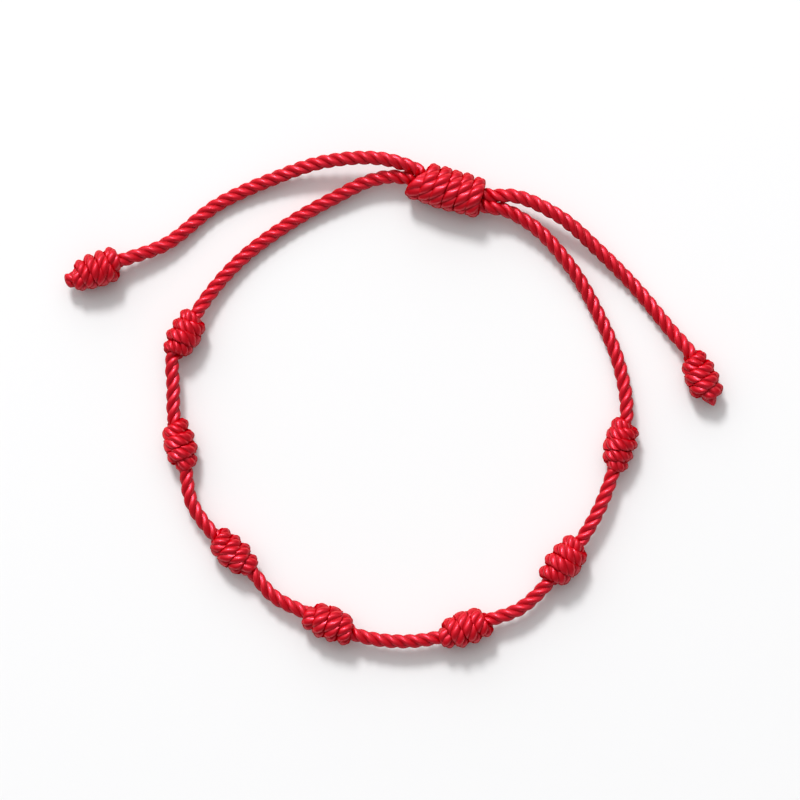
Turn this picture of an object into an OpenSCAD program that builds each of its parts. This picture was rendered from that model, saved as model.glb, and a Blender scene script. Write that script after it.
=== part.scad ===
// Sliding knot bracelet tied in a thick twisted cord. One cord makes the whole loop, with seven
// wrapped knots along it. Its two free ends pass side by side through a sliding knot, cross inside
// it, and finish in a wrapped knot each. The bracelet lies flat on a table at z = 0, with the
// sliding knot away from the viewer. X is to the right, Y is away and Z is up.

/* [Cord] */
// Thickness of the twisted cord
cord_d = 1.8; // [1.7:0.05:1.85]
// Thickness of the cord where a wrapped knot grips it
gripped_d = 1.5; // [1.3:0.05:1.6]
// Thickness of each of the two runs where the sliding knot squeezes them together
squeezed_d = 1.15; // [1:0.05:1.18]
// Length of cord that shows past each end knot
cut_end = 1.2; // [0.5:0.1:3]

/* [Wrapped knots] */
// Turns of cord in each wrapped knot, with the ends that tuck in
knot_turns = 3.5; // [2.5:0.5:3.5]
// Slit between the cord and the turns round it
grip_gap = 0.03; // [0.02:0.01:0.08]
// Slit between one turn and the next
turn_gap = 0.03; // [0.02:0.01:0.1]

/* [Sliding knot] */
// Length over the turns
slide_len = 10.4; // [10:0.1:11.5]
// Thickness over the turns
slide_d = 5.7; // [5:0.1:5.8]
// Turns of cord, with the ends that tuck in
slide_turns = 5.5; // [4.5:0.5:6]
// How far the first turns lean along the knot
slide_lean = 0.6; // [0:0.1:0.7]

/* [Hidden] */
red = [0.78, 0.04, 0.10];

sides = 8;
flat_to_corner = 1 / cos(180 / sides);
rings_per_turn = 14;
tuck = 0.25;
tucked_size = 0.45;
slimmer_end = 0.15;
long_step = 6;
on_table = cord_d / 2;

// Knots: x and y of the centre, heading of the cord through it, length, thickness, and the side
// that shows the most bumps (0 is to the left of the heading, 180 to the right). The small ones
// are in the order that the cord meets them after the sliding knot.
small_knots = [
    [31.9, -6.1, -104, 7.1, 4.7, 0],
    [24.1, -22.5, -128, 7.2, 5.1, 180],
    [10.2, -31.8, 199, 7.2, 5.0, 0],
    [-8.7, -31.1, 156, 7.2, 5.0, 0],
    [-22.3, -21.2, 136, 7.0, 4.7, 180],
    [-29.7, -6.0, 103, 6.8, 4.7, 180],
    [-29.0, 9.3, 61, 6.6, 4.8, 0]
];
left_end = [-41.4, 18.3, 21, 6.8, 5.0, 0];
right_end = [43.2, 3.5, -66, 6.7, 4.8, 0];
slide = [7.6, 29.7, -16.5, slide_len, slide_d, 180];

// Route of the cord as it lies, stretch by stretch: x, y and height of its centre. The knots hold
// the stiff cord up between them, and the long stretches come down to the table.
left_tail = [[-32, 21.8, 1.7], [-24.5, 27.5, 1.1], [-17, 31, 1.6], [-9, 33.5, 3.3], [-0.3, 33.6, 3.8]];
right_loop = [[15.5, 26.8, 2.6], [19, 25, 2.5], [24.5, 19.5, 1.7], [29, 12, 0.9], [32, 4.5, 1.4]];
between_knots = [
    [29, -15, 2.8], [17.6, -29.2, 2.6], [0.5, -33.6, 2.7], [-16.7, -27.2, 2.3], [-28.1, -14, 2.4], [-30.6, 2, 2.4]
];
left_loop = [[-25.5, 15, 1.8], [-21, 20, 1.3], [-15, 24.5, 1.1], [-8, 28.5, 1.5], [-2.5, 31, 2.2],
    [0, 31.2, 2.5]];
right_tail = [[16.5, 28.7, 3.4], [23, 26, 3.6], [29, 21, 2.1], [34.5, 15.5, 1.0], [39, 10, 1.4]];

// Cord that no knot grips: a point is x, y, height of its centre, and thickness
function free(rows) = [for (r = rows) [r.x, r.y, max(r.z, on_table), cord_d]];

// A point of cord inside a knot: along its axis from the centre, and off the axis by a distance
// in the direction turned about it
function in_knot(k, along, off, turned, thick) =
    let (h = k[2], side = off * cos(turned), up = off * sin(turned))
    [k.x + along * cos(h) - side * sin(h), k.y + along * sin(h) + side * cos(h), k[4] / 2 + up, thick];

function through(k) = [for (end = [-0.5, 0.5]) in_knot(k, end * k[3], 0, 0, gripped_d)];

// The two runs wind half a turn round each other inside the sliding knot
run_off = 0.68;
run_steps = 5;
function crossing(start) =
    [for (i = [0:run_steps]) in_knot(slide, (i / run_steps - 0.5) * slide_len, run_off,
        start + 180 * i / run_steps, squeezed_d)];

left_cut = in_knot(left_end, -left_end[3] / 2 - cut_end, 0, 0, cord_d);
right_cut = in_knot(right_end, right_end[3] / 2 + cut_end, 0, 0, cord_d);

route = concat(
    [left_cut], through(left_end), free(left_tail), crossing(0), free(right_loop),
    [for (i = [0:len(small_knots) - 1]) each concat(through(small_knots[i]),
        i < len(between_knots) ? free([between_knots[i]]) : [])],
    free(left_loop), crossing(180), free(right_tail), through(right_end), [right_cut]
);

// A point halfway along a long step of the route, on a smooth curve through its neighbours
function halfway(p, i) =
    let (m = (9 * (p[i] + p[i + 1]) - p[max(i - 1, 0)] - p[min(i + 2, len(p) - 1)]) / 16)
    [m.x, m.y, max(m.z, on_table), cord_d];
function place(p) = [p.x, p.y, p.z];
function is_long(p, i) =
    norm(place(p[i + 1]) - place(p[i])) > long_step && max(p[i][3], p[i + 1][3]) > gripped_d;
function smoothed(p) =
    [for (i = [0:len(p) - 1]) each i < len(p) - 1 && is_long(p, i) ? [p[i], halfway(p, i)] : [p[i]]];

function unit(v) = v / norm(v);

// Eight corners round point i of a path, square to the path
function cord_ring(p, i) =
    let (
        ahead = unit(place(p[min(i + 1, len(p) - 1)]) - place(p[max(i - 1, 0)])),
        aside = unit(cross([0, 0, 1], ahead)),
        upward = cross(ahead, aside),
        r = p[i][3] / 2 * flat_to_corner
    )
    [for (s = [0:sides - 1]) let (a = 360 * (s + 0.5) / sides)
        place(p[i]) + r * (cos(a) * aside + sin(a) * upward)];

// Closed skin over rings of corners laid one after another
function skin(count) = concat(
    [[for (s = [0:sides - 1]) s]],
    [for (i = [0:count - 2], s = [0:sides - 1]) let (a = i * sides + s, b = i * sides + (s + 1) % sides)
        each [[a, a + sides, b], [b, a + sides, b + sides]]],
    [[for (s = [0:sides - 1]) count * sides - 1 - s]]
);

// One ring of a turn: f runs from 0 to 1 along the wrap. The outer turns are a little slimmer, and
// the ends are thin and hug the cord.
function turn_ring(k, turns, bore_d, lean, f) =
    let (
        from_end = min(f, 1 - f) * turns,
        size = min(1, tucked_size + (1 - tucked_size) * from_end / tuck),
        turned = k[5] + 180 + (f - 0.5) * turns * 360,
        pitch = (k[3] - lean / 2) / (turns + 1 - 2 * tuck),
        thick = size * (1 - slimmer_end * pow(2 * f - 1, 2)) * (k[4] - bore_d) / 4,
        shift = lean * (0.75 + (1 - f / 2) * cos(turned)),
        wide = size * (pitch - turn_gap - lean / 2 / turns) / 2
    )
    [for (s = [0:sides - 1]) let (
        a = 360 * (s + 0.5) / sides,
        out = bore_d / 2 + thick + thick * flat_to_corner * cos(a),
        along = (f - 0.5) * turns * pitch + shift + wide * flat_to_corner * sin(a)
    )
    [along, out * cos(turned), out * sin(turned)]];

// A wrap of cord: right-handed turns side by side round a straight core
module wrap(k, turns, bore_d, lean = 0) {
    count = ceil(turns * rings_per_turn) + 1;
    translate([k.x, k.y, k[4] / 2])
        rotate([0, 0, k[2]])
            polyhedron(
                points = [for (i = [0:count - 1]) each turn_ring(k, turns, bore_d, lean, i / (count - 1))],
                faces = skin(count)
            );
}

// The cord itself, from one cut end to the other
module main_cord() {
    path = smoothed(route);
    color(red)
        polyhedron(
            points = [for (i = [0:len(path) - 1]) each cord_ring(path, i)],
            faces = skin(len(path))
        );
}

module wrapped_knot(k) {
    color(red)
        wrap(k, knot_turns, gripped_d * flat_to_corner + 4 * grip_gap);
}

// The sliding knot: a separate piece of the cord wound round both runs
module sliding_knot() {
    color(red)
        wrap(slide, slide_turns, 2 * run_off + squeezed_d * flat_to_corner + 4 * grip_gap, slide_lean);
}

main_cord();
for (i = [0:len(small_knots) - 1])
    wrapped_knot(small_knots[i]);
sliding_knot();
wrapped_knot(left_end);  // left_end_knot
wrapped_knot(right_end);  // right_end_knot
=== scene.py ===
# Sliding knot bracelet of thick twisted red cord, lying flat on a pale table and seen from above.
import math
import bpy
import numpy as np
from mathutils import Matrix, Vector


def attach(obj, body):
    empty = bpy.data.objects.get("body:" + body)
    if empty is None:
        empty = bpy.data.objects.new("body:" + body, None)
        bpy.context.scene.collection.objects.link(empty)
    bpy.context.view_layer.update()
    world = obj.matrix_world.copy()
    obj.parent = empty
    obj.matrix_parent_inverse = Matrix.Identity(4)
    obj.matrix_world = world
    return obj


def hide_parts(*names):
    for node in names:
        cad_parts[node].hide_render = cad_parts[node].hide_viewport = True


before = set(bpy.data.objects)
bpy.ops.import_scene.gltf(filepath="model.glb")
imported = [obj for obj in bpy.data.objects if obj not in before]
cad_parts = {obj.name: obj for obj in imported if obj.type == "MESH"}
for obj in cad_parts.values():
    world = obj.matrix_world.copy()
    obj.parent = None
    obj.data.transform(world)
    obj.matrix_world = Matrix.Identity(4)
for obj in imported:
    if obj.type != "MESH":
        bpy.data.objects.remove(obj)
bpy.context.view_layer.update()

# Camera
# Held straight above the bracelet, a little over half a metre up, so that 112 mm of the table
# fills the frame from side to side.
MM = 0.001
VIEW_WIDTH = 112.0 * MM
CAMERA_UP = 0.56
AIM = Vector((1.12 * MM, 0.14 * MM, 2.0 * MM))
camera_data = bpy.data.cameras.new("camera")
camera_data.angle = 2 * math.atan(VIEW_WIDTH / 2 / CAMERA_UP)
camera_data.clip_start = 0.01
camera = bpy.data.objects.new("camera", camera_data)
camera.location = AIM + Vector((0, 0, CAMERA_UP))
bpy.context.scene.collection.objects.link(camera)
bpy.context.scene.camera = camera

# The long cord
# One length of satin polyester cord, three fat strands laid up with a right-hand twist. It makes
# both tails and the whole loop, and every knot is tied in it or round it. Sizes are in millimetres.
CORD_D = 1.8  # thickness in the open
GRIPPED_D = 1.5  # thickness inside a wrapped knot
SQUEEZED_D = 1.15  # thickness of each of the two runs inside the sliding knot
CUT_END = 1.2  # cord that shows past each end knot
RUN_OFF = 0.68  # how far off the axis of the sliding knot each run lies
SIDE_BY_SIDE = (1.0, 0.82)  # how far past its right end they still touch, and how far off its axis
STRAND_LAY = 5.05  # length in which a strand goes once round the cord
OPEN_STRANDS = (0.39, 0.615)  # how far a strand lies from the middle of the cord, and its radius
ARC_STEPS = 10  # faces across the part of a strand that shows
STEP = 0.26  # length of a face along the cord

# x, y, heading of the cord, length and thickness of each knot, and the side with the most bumps
SMALL_KNOTS = [
    (31.9, -6.1, -104, 7.1, 4.7, 0),
    (24.1, -22.5, -128, 7.2, 5.1, 180),
    (10.2, -31.8, 199, 7.2, 5.0, 0),
    (-8.7, -31.1, 156, 7.2, 5.0, 0),
    (-22.3, -21.2, 136, 7.0, 4.7, 180),
    (-29.7, -6.0, 103, 6.8, 4.7, 180),
    (-29.0, 9.3, 61, 6.6, 4.8, 0),
]
LEFT_END = (-41.4, 18.3, 21, 6.8, 5.0, 0)
RIGHT_END = (43.2, 3.5, -66, 6.7, 4.8, 0)
SLIDE = (7.6, 29.7, -16.5, 10.4, 5.7, 180)

# Route of the cord as it lies, stretch by stretch: x, y and height of its centre. The knots hold
# the stiff cord up between them, and the long stretches come down to the table.
LEFT_TAIL = [(-32, 21.8, 1.7), (-24.5, 27.5, 1.1), (-17, 31, 1.6), (-9, 33.5, 3.3), (-0.3, 33.6, 3.8)]
RIGHT_LOOP = [(15.5, 26.8, 2.6), (19, 25, 2.5), (24.5, 19.5, 1.7), (29, 12, 0.9), (32, 4.5, 1.4)]
BETWEEN_KNOTS = [(29, -15, 2.8), (17.6, -29.2, 2.6), (0.5, -33.6, 2.7), (-16.7, -27.2, 2.3),
                 (-28.1, -14, 2.4), (-30.6, 2, 2.4)]
LEFT_LOOP = [(-25.5, 15, 1.8), (-21, 20, 1.3), (-15, 24.5, 1.1), (-8, 28.5, 1.5), (-2.5, 31, 2.2)]
RIGHT_TAIL = [(16.5, 28.7, 3.4), (23, 26, 3.6), (29, 21, 2.1), (34.5, 15.5, 1.0), (39, 10, 1.4)]

# Both runs come into the left end of the sliding knot from one side, where its first turns lean
UPPER_WAY_IN = [(2.1, 32.9, 3.3), (3.2, 32.45, 3.0), (4.2, 31.85, 2.9)]
LOWER_WAY_IN = [(0, 31.4, 2.5), (1.6, 31.25, 2.5), (2.8, 31.0, 2.5)]
LEANING_FACE = 1.1  # how far in the face of that end is, for each millimetre left of the axis


def in_knot(knot, along, off=0.0, turned=0.0):
    """A point inside a knot: along its axis from its centre, and off it in the direction turned."""
    heading = math.radians(knot[2])
    side = off * math.cos(math.radians(turned))
    up = off * math.sin(math.radians(turned))
    return (
        knot[0] + along * math.cos(heading) - side * math.sin(heading),
        knot[1] + along * math.sin(heading) + side * math.cos(heading),
        knot[4] / 2 + up,
    )


def through(knot):
    return [in_knot(knot, end * knot[3]) for end in (-0.5, 0, 0.5)]


def crossing(start, first, steps=5):
    """Half a turn round the other run, from step first on, and out of the right end beside it."""
    inside = [in_knot(SLIDE, (i / steps - 0.5) * SLIDE[3], RUN_OFF, start + 180 * i / steps)
              for i in range(first, steps + 1)]
    past, off = SIDE_BY_SIDE
    return inside + [in_knot(SLIDE, SLIDE[3] / 2 + past, off, start + 180)]


route = [in_knot(LEFT_END, -LEFT_END[3] / 2 - CUT_END)]
route += through(LEFT_END) + LEFT_TAIL + UPPER_WAY_IN + crossing(0, 2) + RIGHT_LOOP
for number, knot in enumerate(SMALL_KNOTS):
    route += through(knot) + BETWEEN_KNOTS[number:number + 1]
route += LEFT_LOOP + LOWER_WAY_IN + crossing(180, 1) + RIGHT_TAIL + through(RIGHT_END)
route += [in_knot(RIGHT_END, RIGHT_END[3] / 2 + CUT_END)]


def length_along(points):
    return np.concatenate([[0], np.cumsum(np.linalg.norm(np.diff(points, axis=0), axis=1))])


def smooth_line(rows, step):
    """The curve that passes through each row, with a point every step."""
    rows = np.array(rows, float)
    gap = np.linalg.norm(np.diff(rows, axis=0), axis=1)
    rise = np.diff(rows, axis=0) / gap[:, None]
    lean = np.empty_like(rows)
    lean[0] = rise[0]
    lean[-1] = rise[-1]
    lean[1:-1] = (rise[:-1] * gap[1:, None] + rise[1:] * gap[:-1, None]) / (gap[1:] + gap[:-1])[:, None]
    line = []
    for i, h in enumerate(gap):
        t = np.linspace(0, 1, max(2, int(round(h / step)) + 1))[:-1, None]
        line.append((2 * t**3 - 3 * t**2 + 1) * rows[i] + (t**3 - 2 * t**2 + t) * h * lean[i]
                    + (3 * t**2 - 2 * t**3) * rows[i + 1] + (t**3 - t**2) * h * lean[i + 1])
    return np.vstack(line + [rows[-1:]])


def thickness_along(points, outside=0.1, run_in=0.7):
    """Full thickness in the open, drawn in over run_in from just outside each knot."""
    thick = np.full(len(points), CORD_D)
    grips = [(knot, GRIPPED_D, 0) for knot in SMALL_KNOTS + [LEFT_END, RIGHT_END]]
    for knot, held, slant in grips + [(SLIDE, SQUEEZED_D, LEANING_FACE)]:
        heading = math.radians(knot[2])
        off = points[:, :2] - np.array(knot[:2])
        along = off @ np.array([math.cos(heading), math.sin(heading)])
        aside = off @ np.array([-math.sin(heading), math.cos(heading)])
        face = knot[3] / 2 + outside - slant * np.maximum(aside, 0) * (along < 0)
        inside = np.clip((face - np.abs(along)) / run_in, 0, 1) * (np.abs(aside) < knot[4] / 2)
        thick = np.minimum(thick, CORD_D - (CORD_D - held) * inside)
    return thick


def unit(rows):
    return rows / np.linalg.norm(rows, axis=-1, keepdims=True)


def heading_along(points):
    return unit(np.gradient(points, axis=0))


def carried_up(points):
    """A sideways direction at each point that never spins about the line itself."""
    ahead = heading_along(points)
    up = np.empty_like(points)
    up[0] = (0, 0, 1)
    for i in range(1, len(points)):
        up[i] = up[i - 1] - ahead[i] * np.dot(up[i - 1], ahead[i])
        up[i] /= np.linalg.norm(up[i])
    return up


def strand_outline(off_centre, strand_r):
    """Three round strands side by side: turn about the cord's centre, and distance from it."""
    arc = math.radians(120)
    rows = []
    for strand in range(3):
        for i in range(ARC_STEPS):
            off = arc * (i / ARC_STEPS - 0.5)
            out = off_centre * math.cos(off) + math.sqrt(strand_r**2 - (off_centre * math.sin(off))**2)
            rows.append((strand * arc + off, out))
    return np.array(rows)


def pressed(across, room, soft=0.1):
    """Keeps across within room, with its last stretch rounded off."""
    over = np.maximum(across - (room - soft), 0)
    return across - over + soft * (1 - np.exp(-over / soft))


STREAKS_APART = 10.0  # from the middle of one strand to the next in the map of the streaks
ALL_ROOM = 9.0  # room on a side where nothing presses


def laid_cord(name, points, outward, wide, thick, twist, melted, strands=OPEN_STRANDS,
              roundness=(1.0, 1.0), room=(ALL_ROOM, ALL_ROOM), flank=1.0):
    """Mesh of the twisted cord along points in millimetres. wide and thick scale its section across
    and along outward, twist turns its strands, melted smooths them, and strands gives how far out
    they lie and how thick they are. On the sides towards the turn before and the turn after,
    roundness below 1 squares the section, room is the space to that turn, and flank is how much
    the strands show."""
    outline = strand_outline(*strands)
    ahead = heading_along(points)
    outward = unit(outward - ahead * np.sum(outward * ahead, axis=1, keepdims=True))
    aside = np.cross(outward, ahead)
    run = length_along(points)
    turn = outline[None, :, 0] + twist[:, None]
    out = outline[None, :, 1] + (outline[:, 1].mean() - outline[None, :, 1]) * melted[:, None]
    before, after, round_before, round_after = (
        np.broadcast_to(np.array(side, float), len(points))[:, None] for side in room + roundness)
    rounded = np.where(np.cos(turn) > 0, round_after, round_before)
    width = CORD_D / 2 + (out - CORD_D / 2) * flank
    across = width * np.cos(turn) * wide[:, None]
    raised = out * np.sign(np.sin(turn)) * np.abs(np.sin(turn))**rounded * thick[:, None]
    across = pressed(across, after)
    across = -pressed(-across, before)
    rings = (points[:, None] + across[..., None] * aside[:, None]
             + raised[..., None] * outward[:, None])
    count, around = rings.shape[:2]
    faces = [(i * around + j, i * around + (j + 1) % around,
              (i + 1) * around + (j + 1) % around, (i + 1) * around + j)
             for i in range(count - 1) for j in range(around)]
    faces += [tuple(range(around))[::-1], tuple((count - 1) * around + j for j in range(around))]
    mesh = bpy.data.meshes.new(name)
    mesh.from_pydata((rings.reshape(-1, 3) * MM).tolist(), [], faces)
    # One map runs across each strand and along it, in millimetres, for the streaks. The other runs
    # along the cord and round it, for the filaments, whose own twist lays them straight along it.
    # half_arc is how much of a strand shows on each side of its crest.
    streaks = mesh.uv_layers.new(name="streaks")
    filaments = mesh.uv_layers.new(name="filaments")
    half_arc = math.acos((outline[0, 1] / 2 - strands[0]) / strands[1])
    face_arc = math.radians(120 / ARC_STEPS)
    across_strand = []
    along_cord = []
    for i in range(count - 1):
        for j in range(around):
            strand, step = divmod(j, ARC_STEPS)
            left, right = [(2 * (step + k) / ARC_STEPS - 1) * half_arc * strands[1]
                           + STREAKS_APART * strand for k in (0, 1)]
            across_strand += [left, run[i], right, run[i], right, run[i + 1], left, run[i + 1]]
            here, there = turn[i, j], turn[i + 1, j]
            along_cord += [run[i], here, run[i], here + face_arc,
                           run[i + 1], there + face_arc, run[i + 1], there]
    ends = [0.0, 0.0] * (2 * around)
    for layer, rows in ((streaks, across_strand), (filaments, along_cord)):
        layer.data.foreach_set("uv", np.array(rows + ends, np.float32))
    mesh.shade_smooth()
    mesh.set_sharp_from_angle(angle=math.radians(45))
    mesh.update()
    piece = bpy.data.objects.new(name, mesh)
    bpy.context.scene.collection.objects.link(piece)
    return piece


DEEP_RED = (0.4, 0.0, 0.003, 1)
BRIGHT_RED = (0.64, 0.0, 0.006, 1)
# Painted shade for the furrows between the strands, not a colour of the dye
PAINTED_FURROW_SHADE = (0.36, 0.0, 0.003, 1)
GLINT_RED = (1.0, 0.09, 0.14, 1.0)


def satin_red(name):
    """Dyed satin filament: bright red with painted shade darkening its furrows, and fine streaks along
    each strand.
    """
    material = bpy.data.materials.new(name)
    material.use_nodes = True
    nodes, links = material.node_tree.nodes, material.node_tree.links
    shader = nodes["Principled BSDF"]

    def maths(kind, first, second=0.0, third=0.0):
        node = nodes.new("ShaderNodeMath")
        node.operation = kind
        for socket, value in zip(node.inputs, (first, second, third)):
            if isinstance(value, (int, float)):
                socket.default_value = value
            else:
                links.new(value, socket)
        return node.outputs[0]

    def ranged(value, low, high, to_low=0.0, to_high=1.0, kind="LINEAR"):
        node = nodes.new("ShaderNodeMapRange")
        node.interpolation_type = kind
        for socket, number in (("From Min", low), ("From Max", high),
                               ("To Min", to_low), ("To Max", to_high)):
            node.inputs[socket].default_value = number
        links.new(value, node.inputs["Value"])
        return node.outputs[0]

    place = nodes.new("ShaderNodeUVMap")
    place.uv_map = "streaks"
    split = nodes.new("ShaderNodeSeparateXYZ")
    links.new(place.outputs["UV"], split.inputs[0])

    def streaks(across, along, detail, slant=-0.22):
        """Noise drawn out along the filaments, which cross each strand at a slant."""
        slanted = maths("ADD", split.outputs["X"], maths("MULTIPLY", split.outputs["Y"], slant))
        join = nodes.new("ShaderNodeCombineXYZ")
        links.new(maths("MULTIPLY", slanted, across), join.inputs[0])
        links.new(maths("MULTIPLY", split.outputs["Y"], along), join.inputs[1])
        noise = nodes.new("ShaderNodeTexNoise")
        noise.inputs["Scale"].default_value = 1.0
        noise.inputs["Detail"].default_value = detail
        links.new(join.outputs[0], noise.inputs["Vector"])
        return noise.outputs["Fac"]

    # Red, a little uneven in the dye: mostly in broad streaks, less in fine ones and in patches
    fine = streaks(16.0, 0.9, 3.0)
    broad = streaks(4.5, 0.35, 2.0)
    cloudy = nodes.new("ShaderNodeTexNoise")
    cloudy.inputs["Scale"].default_value = 160.0
    on_piece = nodes.new("ShaderNodeTexCoord")
    links.new(on_piece.outputs["Object"], cloudy.inputs["Vector"])
    tone = maths("MULTIPLY", cloudy.outputs["Fac"], 0.2)
    tone = maths("ADD", maths("MULTIPLY", fine, 0.25), tone)
    tone = maths("ADD", maths("MULTIPLY", broad, 0.55), tone)
    ramp = nodes.new("ShaderNodeValToRGB")
    darker, brighter = ramp.color_ramp.elements
    darker.position = 0.32
    darker.color = DEEP_RED
    brighter.position = 0.66
    brighter.color = BRIGHT_RED
    links.new(tone, ramp.inputs["Fac"])

    # Painted shade: the base colour is darker down in the furrows between the strands, where little
    # light gets in
    half_way = STREAKS_APART / 2
    from_crest = maths("ABSOLUTE", maths("WRAP", split.outputs["X"], half_way, -half_way))
    shade = nodes.new("ShaderNodeMix")
    shade.data_type = "RGBA"
    links.new(ranged(from_crest, 0.55, 0.95, kind="SMOOTHSTEP"), shade.inputs["Factor"])
    links.new(ramp.outputs["Color"], shade.inputs["A"])
    shade.inputs["B"].default_value = PAINTED_FURROW_SHADE
    links.new(shade.outputs["Result"], shader.inputs["Base Color"])

    # The filaments lie along the cord and draw each glint out across it. They shine where they face
    # the eye, and little at the edges.
    edge = nodes.new("ShaderNodeLayerWeight")
    edge.inputs["Blend"].default_value = 0.5
    links.new(ranged(edge.outputs["Facing"], 0.25, 0.65, 1.0, 0.0), shader.inputs["Specular IOR Level"])
    shader.inputs["IOR"].default_value = 2.3
    shader.inputs["Specular Tint"].default_value = GLINT_RED
    grain = nodes.new("ShaderNodeTangent")
    grain.direction_type = "UV_MAP"
    grain.uv_map = "filaments"
    links.new(grain.outputs["Tangent"], shader.inputs["Tangent"])
    shader.inputs["Anisotropic"].default_value = 1.0
    shader.inputs["Anisotropic Rotation"].default_value = 0.25
    links.new(ranged(fine, 0.0, 1.0, 0.2, 0.28), shader.inputs["Roughness"])
    bump = nodes.new("ShaderNodeBump")
    bump.inputs["Strength"].default_value = 0.2
    bump.inputs["Distance"].default_value = 0.04 * MM
    links.new(maths("ADD", fine, maths("MULTIPLY", broad, 1.6)), bump.inputs["Height"])
    links.new(bump.outputs["Normal"], shader.inputs["Normal"])
    return material


red_cord = satin_red("red satin cord")


def finished(piece, node):
    """Gives a piece the cord's material, and puts it in the place of its solid."""
    piece.data.materials.append(red_cord)
    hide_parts(node)
    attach(piece, "root")
    return piece


# Faces grow shorter towards the cut ends, which are rounded
NEAR_END = np.array([0.0, 0.02, 0.06, 0.12, 0.2, 0.32])
PAST_NEAR_END = 0.45
line = smooth_line(route, STEP)
whole_run = length_along(line)
between_ends = (whole_run > PAST_NEAR_END) & (whole_run < whole_run[-1] - PAST_NEAR_END)
places = np.concatenate([NEAR_END, whole_run[between_ends], whole_run[-1] - NEAR_END[::-1]])
line = np.column_stack([np.interp(places, whole_run, line[:, axis]) for axis in range(3)])
cord_thick = thickness_along(line)
line[:, 2] = np.maximum(line[:, 2], sum(OPEN_STRANDS))  # on the table, and not in it
from_left = length_along(line)
cord_length = from_left[-1]
from_right = cord_length - from_left

# The left end was melted into a bead, and the right one drawn out to a point. Both have swelled.
BEAD = 0.5  # length over which the left end is rounded
POINT = 1.7  # length over which the right end narrows
POINT_FULLNESS = 0.6  # below 1 the point bulges
TIP = 0.02  # size of the very tip, as a part of the whole section
SWELLING = 2.5  # length of cord that has swelled
LEFT_SWELL = 0.15
RIGHT_SWELL = 0.25
MELTED = 0.75  # how far the strands have run together at the tip
MELTED_LENGTH = 1.2


def swelled(from_end, share):
    return 1 + share * np.clip(SWELLING - from_end, 0, 1)


bead = np.sqrt(1 - (1 - np.clip(from_left / BEAD, TIP, 1))**2) * swelled(from_left, LEFT_SWELL)
point = np.clip(from_right / POINT, TIP, 1)**POINT_FULLNESS * swelled(from_right, RIGHT_SWELL)
section = cord_thick / CORD_D * bead * point
melted = MELTED * np.clip(1 - np.minimum(from_left, from_right) / MELTED_LENGTH, 0, 1)
twist = 2 * math.pi * from_left / STRAND_LAY
long_cord = laid_cord("long_cord", line, carried_up(line), section, section, twist, melted)
finished(long_cord, "main_cord")

# The small wrapped knots
# Seven knots tied in the cord itself: three turns or a little more round the cord, side by side
# and pulled tight, whose ends go back inside beside the cord that runs through.
WRAP_STRANDS = 8.0  # strands that show round one turn
TIGHT_STRANDS = (0.40, 0.50)  # place and radius of the strands where the cord is pulled tight
FLATTENED = 0.87  # thickness of a turn, as a part of the cord's
OVERLAP = 1.16  # width of a turn, as a part of the step from one to the next
SEAM = 0.05  # how far each turn may press into its neighbour
SQUARED = 0.8  # how square the turns press each other
SLIMMER_END = 0.4  # how much closer to the axis the outer turns lie
PRESSED_IN = 0.4  # how much more that is where they aren't free, as a part of it
FREE_NARROWER = 0.12  # a turn is rounder on the side where it is free
FREE_THICKER = 0.04
OUTER_TURN = 1.4  # the turns that have no neighbour on one side, counted from the face of the knot
FREE_OUTSIDE = 3.0  # room beyond them
TUCK_TURNS = 0.42  # the part of a turn in which an end goes back inside
TUCK_R = 0.85  # how far from the axis it then lies
TUCK_SLIMMER = 0.25  # how much it is squeezed
TUCK_UNTWIST = 0.5  # how much slower its strands turn
UNEVEN = 0.05  # how far the turns wander


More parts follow.
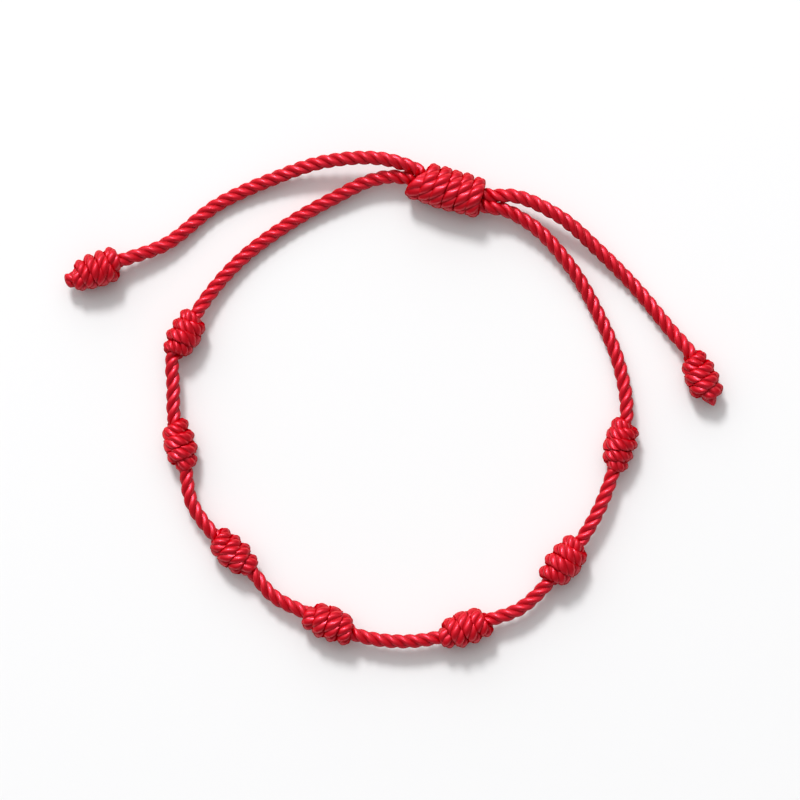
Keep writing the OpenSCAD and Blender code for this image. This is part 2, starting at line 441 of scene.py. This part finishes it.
def wrapped_knot(node, knot, turns, strands=WRAP_STRANDS, lean=0.0, tuck_turns=TUCK_TURNS,
                 tuck_r=TUCK_R, tuck_out=(0.15, 0.15), slip=0.4, start=0, round_side=None,
                 slimmer=SLIMMER_END, growth=0.0, broad=1.0, wobble=1.0):
    """Turns of cord side by side round the axis of a knot. start turns the first one about the
    axis, in degrees, and lean carries the turns along it on one side. Each end bulges by tuck_out
    and then slips back inside by slip. The turns are round on round_side, growth makes the far end
    fatter, broad widens the knot on the table, and wobble makes each knot differ."""
    length, thick = knot[3], knot[4]
    coil_r = (thick - CORD_D * FLATTENED) / 2
    pitch = (length - lean / 2) / (turns + 1)
    total = turns + 2 * tuck_turns
    # Turns are counted from the middle of the knot, and past and inside run from 0 to 1 in a tuck
    at = np.linspace(-total / 2, total / 2, int(total * 2 * math.pi * coil_r / STEP))
    past = np.clip((np.abs(at) - turns / 2) / tuck_turns, 0, 1)
    inside = past * past * (3 - 2 * past)
    from_middle = np.clip(2 * at / turns, -1, 1)
    turned = np.radians(knot[5] + start + 180 + at * 360)
    round_side = math.radians(knot[5] if round_side is None else round_side)
    free = (0.5 + 0.5 * np.cos(turned - round_side))**3
    # Along the axis, where the first turns lean most, and out from it. Slow waves, out of step with
    # the turns, make them uneven.
    bulge = np.where(at < 0, tuck_out[0], tuck_out[1]) * np.sin(math.pi / 2 * past)
    lean_here = lean * (0.75 + (1 - np.clip(at / turns + 0.5, 0, 1) / 2) * np.cos(turned))
    along = np.clip(at, -turns / 2, turns / 2) * pitch + np.sign(at) * bulge + lean_here
    along = along - np.sign(at) * slip * past**2 + UNEVEN * np.sin(1.7 * turned + 3 * wobble)
    out = coil_r - slimmer * (1 + PRESSED_IN * (1 - free)) * from_middle**2
    out = out + growth * from_middle + UNEVEN * np.sin(0.63 * turned + wobble)
    out = out + (tuck_r - out) * inside
    heading = math.radians(knot[2])
    ahead = np.array([math.cos(heading), math.sin(heading), 0])
    aside = np.array([-math.sin(heading), math.cos(heading), 0])
    away = broad * np.cos(turned)[:, None] * aside + np.sin(turned)[:, None] * np.array([0, 0, 1])
    points = np.array([knot[0], knot[1], thick / 2]) + along[:, None] * ahead + out[:, None] * away
    # Round and free on one side of the knot, and squared off against each other on the rest
    tucked = 1 - TUCK_SLIMMER * inside
    wide = (pitch * (OVERLAP - FREE_NARROWER * free) + 2 * bulge) / CORD_D * tucked
    thickness = (FLATTENED + FREE_THICKER * free) * tucked
    first = np.clip(OUTER_TURN - at - turns / 2, 0, 1)
    last = np.clip(OUTER_TURN + at - turns / 2, 0, 1)
    squared = SQUARED * (1 - free)
    roundness = (1 - squared * (1 - first), 1 - squared * (1 - last))
    room = (pitch / 2 + SEAM + FREE_OUTSIDE * first + bulge * (at > 0),
            pitch / 2 + SEAM + FREE_OUTSIDE * last + bulge * (at < 0))
    # As many strands show round each turn as round the next, so they line up from turn to turn
    twist = strands / 3 * np.cumsum(np.gradient(turned) * (1 - TUCK_UNTWIST * inside))
    turns_of_cord = laid_cord("turns_of_" + node, points, away, wide, thickness, twist,
                              np.zeros(len(points)), TIGHT_STRANDS, roundness, room, flank=0.1)
    return finished(turns_of_cord, node)


# How each was pulled tight: turns, where they start, how far its ends bulge, and growth
PULLED = [(3.5, -90, (0.0, 0.25), -0.1), (3.0, 0, (0.1, 0.2), 0.0), (3.0, 0, (0.3, 0.3), -0.1),
          (3.0, 0, (0.2, 0.3), 0.05), (3.0, 0, (0.4, 0.2), 0.0), (3.0, 0, (0.4, 0.2), -0.05),
          (3.0, 0, (0.4, 0.1), 0.05)]
knots = [
    wrapped_knot(f"knot_{number}", knot, turns, start=start, tuck_out=bulge, growth=growth,
                 wobble=1.1 * number)
    for number, (knot, (turns, start, bulge, growth)) in enumerate(zip(SMALL_KNOTS, PULLED), 1)
]

# The sliding knot
# A short separate length of the same cord, wound five times round both runs of the long cord so
# that it grips them and slides. Its first turns lean, and its ends are drawn back inside.
knots.append(wrapped_knot("sliding_knot", SLIDE, 5.0, strands=9.0, lean=0.6, tuck_turns=0.36,
                          tuck_r=1.5, tuck_out=(0.4, 0.15), slip=1.5, round_side=0,
                          slimmer=0.12, broad=1.08, wobble=0.5))

# The end knots
# The same wrapped knot at each end of the cord keeps the tails from pulling through the sliding
# knot. The cut end shows past it, its strands melted together so that they don't unravel.
knots.append(wrapped_knot("left_end_knot", LEFT_END, 3.5, tuck_out=(0.2, 0.3), start=-90,
                          growth=0.15, slimmer=0.25, wobble=1.3))
knots.append(wrapped_knot("right_end_knot", RIGHT_END, 3.0, tuck_out=(0.35, 0.3),
                          growth=0.15, slimmer=0.3, wobble=2.1))

# The table
# A plain pale table top, smooth and almost without shine, far wider than the frame.
TABLE_HALF = 1.5
TABLE_WHITE = (0.845, 0.845, 0.85, 1)
table_mesh = bpy.data.meshes.new("table")
table_mesh.from_pydata([(-TABLE_HALF, -TABLE_HALF, 0), (TABLE_HALF, -TABLE_HALF, 0),
                        (TABLE_HALF, TABLE_HALF, 0), (-TABLE_HALF, TABLE_HALF, 0)], [], [(0, 1, 2, 3)])
table = bpy.data.objects.new("table", table_mesh)
bpy.context.scene.collection.objects.link(table)
pale = bpy.data.materials.new("table white")
pale.use_nodes = True
pale_shader = pale.node_tree.nodes["Principled BSDF"]
pale_shader.inputs["Base Color"].default_value = TABLE_WHITE
pale_shader.inputs["Roughness"].default_value = 0.8
pale_shader.inputs["Specular IOR Level"].default_value = 0.2
table_mesh.materials.append(pale)

# The light
# A soft window light from the far side, a little to the left and half way up the sky. The pale
# room glows from all round, and most from the window's side.
WINDOW_AWAY = 2.0
WINDOW_UP = math.radians(45)
WINDOW_LEFT = math.radians(16.5)
WINDOW_SIZE = 0.45
WINDOW_POWER = 26.5
ROOM_DIM = 0.23
ROOM_BRIGHT = 2.2
ROOM_NARROW = 4.0  # the higher it is, the narrower the bright part of the room
to_window = Vector((-math.sin(WINDOW_LEFT) * math.cos(WINDOW_UP),
                    math.cos(WINDOW_LEFT) * math.cos(WINDOW_UP), math.sin(WINDOW_UP)))
window_data = bpy.data.lights.new("window", "AREA")
window_data.shape = "DISK"
window_data.size = WINDOW_SIZE
window_data.energy = WINDOW_POWER
window = bpy.data.objects.new("window", window_data)
window.location = AIM + WINDOW_AWAY * to_window
window.rotation_euler = (AIM - window.location).to_track_quat("-Z", "Y").to_euler()
bpy.context.scene.collection.objects.link(window)
world = bpy.data.worlds.new("room")
world.use_nodes = True
room_nodes, room_links = world.node_tree.nodes, world.node_tree.links
direction = room_nodes.new("ShaderNodeTexCoord")
facing = room_nodes.new("ShaderNodeVectorMath")
facing.operation = "DOT_PRODUCT"
facing.inputs[1].default_value = to_window
room_links.new(direction.outputs["Generated"], facing.inputs[0])
glow = room_nodes.new("ShaderNodeMath")
glow.operation = "POWER"
glow.use_clamp = True
glow.inputs[1].default_value = ROOM_NARROW
room_links.new(facing.outputs["Value"], glow.inputs[0])
walls = room_nodes.new("ShaderNodeMapRange")
walls.inputs["To Min"].default_value = ROOM_DIM
walls.inputs["To Max"].default_value = ROOM_BRIGHT
room_links.new(glow.outputs[0], walls.inputs["Value"])
room_links.new(walls.outputs[0], room_nodes["Background"].inputs["Strength"])
room_nodes["Background"].inputs["Color"].default_value = (1, 1, 1, 1)
bpy.context.scene.world = world
bpy.context.scene.view_settings.view_transform = "Standard"
